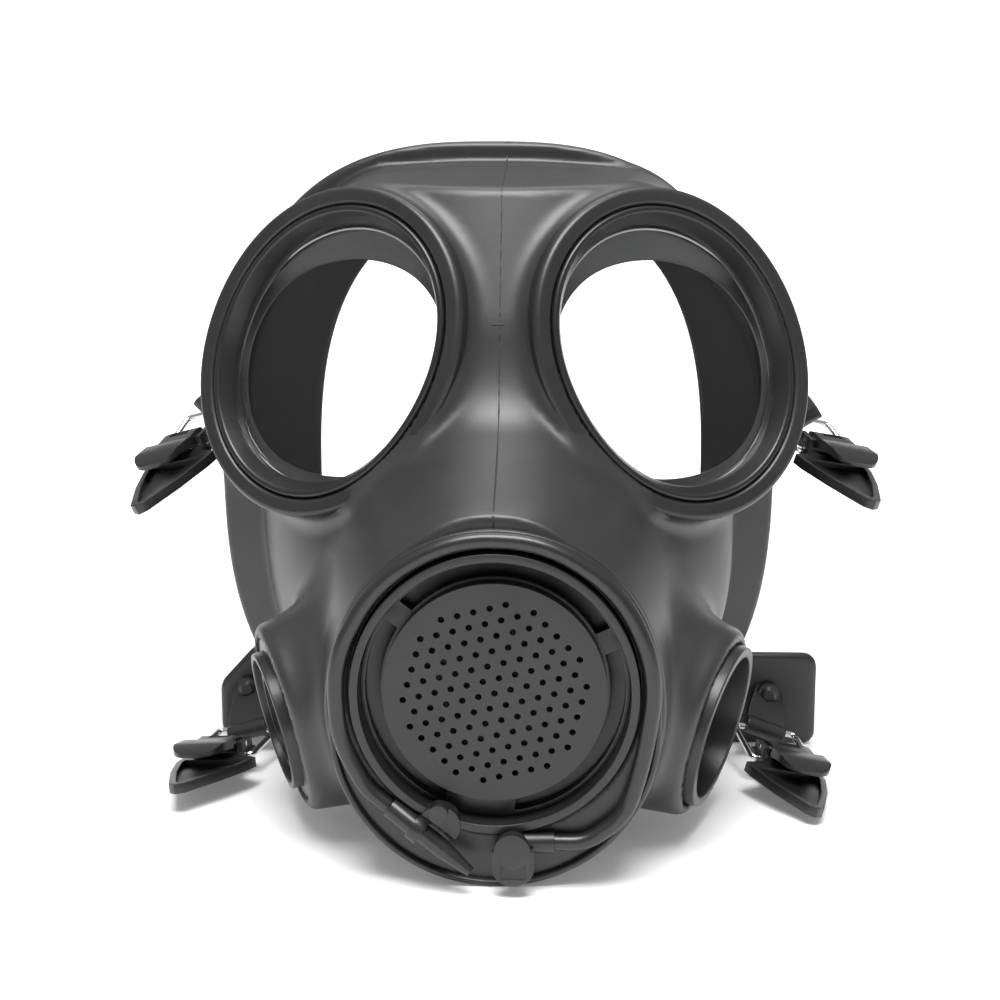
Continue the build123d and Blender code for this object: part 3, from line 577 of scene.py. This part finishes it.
def surface_nets(f, lo, hi, h):
    xs = np.arange(lo[0], hi[0] + h, h)
    ys = np.arange(lo[1], hi[1] + h, h)
    zs = np.arange(lo[2], hi[2] + h, h)
    G = np.empty((len(xs), len(ys), len(zs)), np.float32)
    for i0 in range(0, len(xs), 16):
        X, Y, Z = np.meshgrid(xs[i0:i0 + 16], ys, zs, indexing="ij")
        G[i0:i0 + 16] = f(X, Y, Z)
    S = G < 0
    nx, ny, nz = G.shape
    cs = np.zeros((nx - 1, ny - 1, nz - 1), np.int8)
    for a in (0, 1):
        for b in (0, 1):
            for c in (0, 1):
                cs += S[a:nx - 1 + a, b:ny - 1 + b, c:nz - 1 + c]
    act = (cs > 0) & (cs < 8)
    idx = -np.ones(act.shape, np.int64)
    cells = np.argwhere(act)
    idx[act] = np.arange(len(cells))
    acc = np.zeros((len(cells), 3))
    cnt = np.zeros(len(cells))
    corners = [(a, b, c) for a in (0, 1) for b in (0, 1) for c in (0, 1)]
    ci, cj, ck = cells.T
    val = {c: G[ci + c[0], cj + c[1], ck + c[2]].astype(float) for c in corners}
    for a in corners:
        for ax in range(3):
            if a[ax] == 1:
                continue
            b = list(a)
            b[ax] = 1
            b = tuple(b)
            va, vb = val[a], val[b]
            cr = (va < 0) != (vb < 0)
            t = np.where(cr, va / np.where(cr, va - vb, 1), 0)
            p = np.array(a, float)[None, :] + t[:, None] * (np.array(b, float) - np.array(a, float))[None, :]
            acc[cr] += p[cr]
            cnt[cr] += 1
    V = (cells + acc / cnt[:, None]) * h + np.array([xs[0], ys[0], zs[0]])
    F = []
    # x edges
    for ax in range(3):
        sl0 = [slice(None)] * 3
        sl1 = [slice(None)] * 3
        sl0[ax] = slice(0, -1)
        sl1[ax] = slice(1, None)
        A, B = S[tuple(sl0)], S[tuple(sl1)]
        e = np.argwhere(A != B)
        o1, o2 = [(1, 2), (2, 0), (0, 1)][ax]
        ok = (e[:, o1] > 0) & (e[:, o2] > 0) & (e[:, o1] < G.shape[o1] - 1) & (e[:, o2] < G.shape[o2] - 1)
        e = e[ok]
        ins = A[tuple(e.T)]
        d1 = np.zeros(3, int)
        d1[o1] = 1
        d2 = np.zeros(3, int)
        d2[o2] = 1
        q = np.stack([idx[tuple((e - d1 - d2).T)], idx[tuple((e - d2).T)], idx[tuple(e.T)], idx[tuple((e - d1).T)]], 1)
        q = np.where(ins[:, None], q, q[:, ::-1])
        F.append(q)
    F = np.vstack(F)
    F = F[(F >= 0).all(1)]
    # settle the vertices on the surface
    for it in range(4):
        eps = 0.05
        x, y, z = V.T
        v0 = f(x, y, z)
        g = np.stack([f(x + eps, y, z) - f(x - eps, y, z), f(x, y + eps, z) - f(x, y - eps, z), f(x, y, z + eps) - f(x, y, z - eps)], 1) / (2 * eps)
        g2 = (g * g).sum(1) + 1e-6
        stepv = -(v0 / g2)[:, None] * g
        ln = np.linalg.norm(stepv, axis=1)
        stepv *= np.minimum(1, 0.5 * h / np.maximum(ln, 1e-9))[:, None]
        V = V + stepv
    return V, F


H = 1.25 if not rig.quick() else 1.8
V, F = surface_nets(face_sd, (-96, -61, -92), (100, 61, 101), H)


def keep_largest(V, F):
    n = len(V)
    parent = np.arange(n)
    for _ in range(60):
        m = parent[F].min(1)
        new = parent.copy()
        for k in range(4):
            np.minimum.at(new, F[:, k], m)
        new = new[new]
        if (new == parent).all():
            break
        parent = new
    lab, c = np.unique(parent[F[:, 0]], return_counts=True)
    best = lab[np.argmax(c)]
    Fk = F[parent[F[:, 0]] == best]
    used = np.unique(Fk)
    m = -np.ones(n, int)
    m[used] = np.arange(len(used))
    return V[used], m[Fk]


V, F = keep_largest(V, F)
face = build("rubber_facepiece", V, F, MAT["rubber"], "mask", "rubber")
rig.replaces(face, "facepiece")
print("facepiece verts", len(V))


# ------------------------------------------------------------------ swept rings round the eyepieces
def eye_sweep(prof, n=220, mirror=False, fn=None):
    """prof: list of (delta from the rim outline, offset along the eye axis), closed."""
    V = []
    for i in range(n):
        t = 2 * pi * i / n
        for d, o in prof:
            r = (fn(t) if fn else rim_r(t)) + d
            V.append(EYE_C + EU * r * cos(t) + EV * r * sin(t) + EN * o)
    V = np.array(V)
    F = grid_faces(n, len(prof), True, True)
    if mirror:
        return mirror_x(V), F
    return V, flip(F)


bead_prof = round_profile([(0.0, -9.5), (0.15, -1.2), (-1.0, 0.0), (-4.3, -0.2), (-5.0, -0.9), (-5.25, -4.0), (-2.0, -9.5)], [0, 1.0, 0.9, 0.7, 0.5, 0, 0], 4)
ring_prof = round_profile([(-5.35, -5.5), (-5.35, -0.6), (-5.9, 0.1), (-7.1, 0.0), (-9.7, -4.4), (-9.95, -6.1), (-9.95, -6.9), (-6.0, -6.9)],
                          [0, 0.5, 0.4, 0.5, 0.6, 0.2, 0.1, 0], 4)


def sight_sweep(prof, n=220, mirror=False):
    """prof: (share of the back outline, radius offset, offset along the axis)."""
    V = []
    for i in range(n):
        t = 2 * pi * i / n
        ra, rb = float(lookup(TAB_A, np.array(t))), float(lookup(TAB_B, np.array(t)))
        for s, d, o in prof:
            r = ra * (1 - s) + rb * s + d
            V.append(EYE_C + EU * (r * cos(t)) + EV * r * sin(t) + EN * o)
    V = np.array(V)
    F = grid_faces(n, len(prof), True, True)
    return (mirror_x(V), F) if mirror else (V, flip(F))


sight_prof = [(0, 2.6, -9.25), (0, 0.5, -9.25), (0, 0.1, -9.35), (0.05, 0.0, -9.6), (0.3, 0.0, -10.4), (0.6, 0.0, -11.4), (0.9, 0.0, -12.4), (0.97, 0.0, -12.7),
              (1.0, 0.05, -13.0), (1.0, 0.3, -13.4), (1.0, 0.9, -13.6), (0.8, 1.0, -13.7), (0, 2.6, -13.8)]
# profile of the thin ring round the lens edge that carries the painted highlight
painted_highlight_ring_prof = [(0, 0.15 + 0.34 * cos(a), -6.45 + 0.34 * sin(a)) for a in [2 * pi * k / 10 for k in range(10)]]
for nm, mi in (("right", False), ("left", True)):
    v, f = eye_sweep(bead_prof, mirror=mi)
    build(f"eye_bead_{nm}", v, f, MAT["rubber_bead"], "mask", "rubber", 50)
    v, f = eye_sweep(ring_prof, mirror=mi)
    o = build(f"eye_clamp_ring_{nm}", v, f, MAT["ring_plastic"], "mask", "ring_plastic", 50)
    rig.replaces(o, f"eye_ring_{nm}")
    v, f = sight_sweep(sight_prof, mirror=mi)
    build(f"sight_wall_{nm}", v, f, MAT["sight_rubber"], "mask", "rubber", 60)
    # light grey ring on the lens edge: a painted highlight, not the lens's own colour
    v, f = sight_sweep(painted_highlight_ring_prof, mirror=mi)
    build(f"painted_lens_edge_highlight_{nm}", v, f, MAT["painted_lens_edge_highlight"], "mask", "lens_clear")


# ------------------------------------------------------------------ bead round the module (two circles joined)
def stadium(t, r, zc1=MZ, zc2=-47.6):
    """Outline of the snout front: upper circle about zc1, lower about zc2, joined by straight sides."""
    c, s = cos(t), sin(t)
    if s >= 0:
        return np.array([MX + r * c, 0, zc1 + r * s])
    return np.array([MX + r * c, 0, zc2 + r * s])


def stadium_sweep(prof, n=240):
    V = []
    pts = []
    for i in range(n):
        t = 2 * pi * i / n
        pts.append(t)
    # insert the straight sides as extra stations
    st = []
    for i in range(n // 2 + 1):
        st.append((2 * pi * i / n, MZ))
    for k in range(1, 8):
        st.append((pi, MZ + (-47.6 - MZ) * k / 8))
    for i in range(n // 2, n + 1):
        st.append((2 * pi * i / n, -47.6))
    for k in range(1, 8):
        st.append((0.0, -47.6 + (MZ + 47.6) * k / 8))
    for t, zc in st:
        for d, y in prof:
            r = 42.2 + d
            V.append((MX + r * cos(t), y, zc + r * sin(t)))
    return np.array(V), flip(grid_faces(len(st), len(prof), True, True))


mb_prof = round_profile([(0.2, -48.0), (0.5, -57.9), (-0.1, -59.2), (-1.3, -59.2), (-1.8, -58.0), (-1.9, -50.0)], [0, 0.7, 0.6, 0.6, 0.4, 0], 4)
v, f = stadium_sweep(mb_prof)
build("snout_bead", v, f, MAT["rubber_bead"], "mask", "rubber", 60)


# flat land between the bead and the cup, where the drinking tube lies
def land():
    n = 240
    V, st = [], []
    for i in range(n // 2 + 1):
        st.append((2 * pi * i / n, MZ))
    for k in range(1, 8):
        st.append((pi, MZ + (-47.6 - MZ) * k / 8))
    for i in range(n // 2, n + 1):
        st.append((2 * pi * i / n, -47.6))
    for k in range(1, 8):
        st.append((0.0, -47.6 + (MZ + 47.6) * k / 8))
    for t, zc in st:
        a = np.array((MX + 40.2 * cos(t), -57.5, zc + 40.2 * sin(t)))
        dz = a[2] - MZ
        tt = math.atan2(dz, a[0] - MX)
        b = np.array((MX + 37.2 * cos(tt), -57.5, MZ + 37.2 * sin(tt)))
        for k in range(5):
            q = a * (1 - k / 4) + b * (k / 4)
            V.append((q[0], -57.6 + 0.25 * sin(pi * k / 4), q[2]))
    return np.array(V), flip(grid_faces(len(st), 5, True, False))


v, f = land()
build("module_land", v, f, MAT["rubber"], "mask", "rubber")

# ------------------------------------------------------------------ CAD nodes that stay, with soft edges and their materials
def finish_node(name, mat, bevel=0.0, angle=35.0):
    o = frame["nodes"][name]
    set_mat(o, mat)
    w = o.modifiers.new("weld", "WELD")
    w.merge_threshold = 1e-6
    if bevel:
        b = o.modifiers.new("bevel", "BEVEL")
        b.width = bevel / 1000.0
        b.segments = 2
        b.limit_method = "ANGLE"
        b.angle_limit = radians(32)
        b.harden_normals = False
    o.data.shade_smooth()
    s = o.modifiers.new("norm", "WEIGHTED_NORMAL") if False else None
    return o


SLOT = {s["node"]: s.get("material_slot") for s in frame["record"].get("subparts", [])}
for n, o in frame["nodes"].items():
    if n in ("facepiece", "eye_ring_left", "eye_ring_right"):
        continue
    s = SLOT.get(n, "black_plastic")
    m = MAT.get(s, MAT["black_plastic"])
    if n == "perforated_cover":
        m = MAT["cover_plastic"]
    if n in ("face_seal", "orinasal_cup"):
        m = MAT["inner_rubber"]
    set_mat(o, m)
    smooth_by_angle(o.data, 38)

# ------------------------------------------------------------------ soft moulded pieces made from the solids they stand for
def moulded(node, name, mat, voxel, rounds, slot):
    src = frame["nodes"][node]
    me = src.data.copy()
    o = bpy.data.objects.new(name, me)
    bpy.context.scene.collection.objects.link(o)
    a = o.modifiers.new("weld", "WELD")
    a.merge_threshold = 2e-6
    a = o.modifiers.new("remesh", "REMESH")
    a.mode = "VOXEL"
    a.voxel_size = voxel / 1000.0
    a = o.modifiers.new("soften", "SMOOTH")
    a.factor = 0.5
    a.iterations = rounds
    bpy.context.view_layer.update()
    dg = bpy.context.evaluated_depsgraph_get()
    new = bpy.data.meshes.new_from_object(o.evaluated_get(dg))
    o.modifiers.clear()
    o.data = new
    new.materials.clear()
    new.materials.append(mat)
    new.shade_smooth()
    body = src["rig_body"]
    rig.ride(o, body)
    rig.slot(o, slot)
    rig.replaces(o, node)
    return o


moulded("orinasal_cup", "nose_cup", MAT["soft_rubber"], 0.8 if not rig.quick() else 1.2, 6, "soft_rubber")
for nm in ("upper_left", "upper_right", "lower_left", "lower_right"):
    moulded(f"anchor_tab_{nm}", f"strap_tab_{nm}", MAT["rubber"], 0.32, 5, "rubber")
    for kind in ("buckle_base", "buckle_lever"):
        o = frame["nodes"][f"{kind}_{nm}"]
        a = o.modifiers.new("weld", "WELD")
        a.merge_threshold = 2e-6
        a = o.modifiers.new("bevel", "BEVEL")
        a.width = 0.0003
        a.segments = 3
        a.limit_method = "ANGLE"
        a.angle_limit = radians(40)
for n, wd in (("module_housing", 0.45), ("outlet_ring", 0.25), ("filter_port", 0.45), ("side_transmitter_body", 0.45), ("drink_lever", 0.45), ("drink_plug", 0.35),
              ("plug_holder", 0.35), ("drink_elbow", 0.3)):
    o = frame["nodes"][n]
    a = o.modifiers.new("weld", "WELD")
    a.merge_threshold = 2e-6
    a = o.modifiers.new("bevel", "BEVEL")
    a.width = wd / 1000.0
    a.segments = 3
    a.limit_method = "ANGLE"
    a.angle_limit = radians(40)

# ------------------------------------------------------------------ inner lip that seals on the face
def inner_hit(yy, t, cx=0.0, cz=-2.0):
    r0, r1 = 20.0, 130.0
    for _ in range(40):
        r = 0.5 * (r0 + r1)
        if inner_sd(np.array(cx + r * cos(t)), np.array(yy), np.array(cz + r * sin(t))) < 0:
            r0 = r
        else:
            r1 = r
    return 0.5 * (r0 + r1)


def lip():
    n = 160
    V = []
    for i in range(n):
        t = 2 * pi * i / n
        low = step01((-sin(t) - 0.45) / 0.4)
        yo = 55.5 - 20.0 * low
        r = inner_hit(yo, t) + 0.8
        ox, oz = r * cos(t), -2.0 + r * sin(t)
        if low > 0:
            oz = max(oz, -90 + (yo - 24) * math.tan(radians(34)) + 3.0)
        c, s = cos(t), sin(t)
        a, b = 57.5, (80.0 if s > 0 else 58.0)
        q = (abs(c / a) ** 2.6 + abs(s / b) ** 2.6) ** (-1 / 2.6)
        ix, iz = 1.2 + q * c, -1.0 + q * s
        yi = 49.0 - 14.0 * low
        O = np.array((ox, yo, oz))
        I = np.array((ix, yi, iz))
        d = I - O
        L = np.linalg.norm(d)
        for k, th in ((0, 0.0), (0.12, 1.3), (0.4, 1.0), (0.8, 0.7), (0.93, 1.1), (0.985, 0.8), (1.0, 0.0), (0.985, -0.8), (0.93, -1.1), (0.8, -0.7), (0.4, -1.0), (0.12, -1.3)):
            p = O + d * k
            p[1] += 4.0 * sin(pi * k) * 0.6 + th
            V.append(p)
    return np.array(V), grid_faces(n, 12, True, True)


v, f = lip()
o = build("face_seal_lip", v, f, MAT["inner_rubber"], "mask", "rubber")
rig.replaces(o, "face_seal")

# ------------------------------------------------------------------ moulding seam down the middle
def outer_hit_y(x, z, y0=-70.0):
    ys = np.linspace(y0, 60, 1400)
    d = outer_sd(np.full_like(ys, x), ys, np.full_like(ys, z))
    i = int(np.argmax(d < 0))
    return ys[i]


def outer_hit_z(x, y, z0=104.0):
    zs = np.linspace(z0, 40, 900)
    d = outer_sd(np.full_like(zs, x), np.full_like(zs, y), zs)
    i = int(np.argmax(d < 0))
    return zs[i]


def ribbon(points, normals, width, height, seg=5):
    """A low half-round ridge along points."""
    V = []
    P = np.array(points)
    N = np.array(normals)
    for i in range(len(P)):
        a, b = P[max(0, i - 1)], P[min(len(P) - 1, i + 1)]
        t = (b - a) / np.linalg.norm(b - a)
        s = np.cross(t, N[i])
        s /= np.linalg.norm(s)
        for k in range(seg + 1):
            an = pi * k / seg
            V.append(P[i] + s * (width / 2 * cos(an)) + N[i] * (height * sin(an) - 0.12))
    return np.array(V), grid_faces(len(P), seg + 1, False, False)


def outer_normal(p):
    e = 0.1
    x, y, z = p
    g = np.array([outer_sd(np.array(x + e), np.array(y), np.array(z)) - outer_sd(np.array(x - e), np.array(y), np.array(z)),
                  outer_sd(np.array(x), np.array(y + e), np.array(z)) - outer_sd(np.array(x), np.array(y - e), np.array(z)),
                  outer_sd(np.array(x), np.array(y), np.array(z + e)) - outer_sd(np.array(x), np.array(y), np.array(z - e))])
    return g / np.linalg.norm(g)


pts = []
for y in np.linspace(57.0, 8.0, 60):
    pts.append((0.35, y, outer_hit_z(0.35, y)))
for z in np.linspace(pts[-1][2] - 0.8, 4.5, 90):
    x = 0.35 + 0.35 * step01((50 - z) / 50)
    pts.append((x, outer_hit_y(x, z), z))
P2 = [pts[0]]
for p in pts[1:]:
    if np.linalg.norm(np.array(p) - np.array(P2[-1])) > 0.6:
        P2.append(p)
v, f = ribbon(P2, [outer_normal(p) for p in P2], 0.6, 0.2)
build("mould_seam", v, f, MAT["seam_dark"], "mask", "rubber")
nk = []
for x in np.linspace(-1.9, 1.7, 9):
    y = outer_hit_y(x, 50.4)
    nk.append((x, y, 50.4))
v, f = ribbon(nk, [outer_normal(p) for p in nk], 0.8, 0.3)
build("seam_tick", v, f, MAT["seam_dark"], "mask", "rubber")

# ------------------------------------------------------------------ stage and light
def strip(name, prof, half):
    V = [(x, y, z) for y, z in prof for x in (-half, half)]
    F = [[2 * i, 2 * i + 1, 2 * i + 3, 2 * i + 2] for i in range(len(prof) - 1)]
    me = bpy.data.meshes.new(name)
    me.from_pydata(V, [], F)
    me.shade_smooth()
    o = bpy.data.objects.new(name, me)
    bpy.context.scene.collection.objects.link(o)
    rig.stage(o)
    return o


def paper(name, glow):
    m = material(name, (0.93, 0.93, 0.93), 0.9, grain=400, bump=0.02, vary=0.01, patch=3, spec=0.1)
    p = m.node_tree.nodes["Principled BSDF"]
    p.inputs["Emission Color"].default_value = (1, 1, 1, 1)
    p.inputs["Emission Strength"].default_value = glow
    return m


floor = strip("floor", [(-3.0, 0.0), (-1.0, 0.0), (0.45, 0.0)], 3.0)
floor.data.materials.append(paper("floor_paper", 0.14))
sweep_prof = [(0.45, 0.0), (1.3, 0.0)] + [(1.3 + 0.4 * sin(pi / 2 * k / 10), 0.4 - 0.4 * cos(pi / 2 * k / 10)) for k in range(1, 11)] + [(1.7, 0.5)]
back = strip("backdrop", sweep_prof, 0.95)
back.data.materials.append(paper("backdrop_paper", 0.85))


def area(name, loc, size, power, look=(0, 0, 0.09)):
    l = bpy.data.lights.new(name, "AREA")
    l.shape = "RECTANGLE"
    l.size, l.size_y = size
    l.energy = power
    o = bpy.data.objects.new(name, l)
    bpy.context.scene.collection.objects.link(o)
    o.location = loc
    o.rotation_mode = "QUATERNION"
    o.rotation_quaternion = (Vector(look) - Vector(loc)).to_track_quat("-Z", "Y")
    return o


area("top_box", (0.0, -0.38, 1.02), (0.7, 0.5), 17.0)
area("back_box", (0.0, 0.45, 1.2), (0.8, 0.4), 4.0)
area("left_strip", (-1.1, 0.25, 0.35), (0.3, 0.7), 0.4)
area("right_strip", (1.1, 0.25, 0.35), (0.3, 0.7), 0.4)
w = bpy.data.worlds.new("studio")
bpy.context.scene.world = w
w.use_nodes = True
WN, WL = w.node_tree.nodes, w.node_tree.links
bg = WN["Background"]
tcw = WN.new("ShaderNodeTexCoord")
sep = WN.new("ShaderNodeSeparateXYZ")
WL.new(tcw.outputs["Generated"], sep.inputs[0])
mr = WN.new("ShaderNodeMapRange")
mr.inputs["From Min"].default_value = -0.1
mr.inputs["From Max"].default_value = 0.9
mr.inputs["To Min"].default_value = 0.20
mr.inputs["To Max"].default_value = 0.50
WL.new(sep.outputs["Z"], mr.inputs["Value"])
WL.new(mr.outputs["Result"], bg.inputs["Strength"])
bg.inputs["Color"].default_value = (1, 1, 1, 1)

V_LO, V_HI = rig.bounds()
json.dump({"cad": [CAD_LO, CAD_HI], "visual": [list(V_LO), list(V_HI)]}, open("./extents.json", "w"))
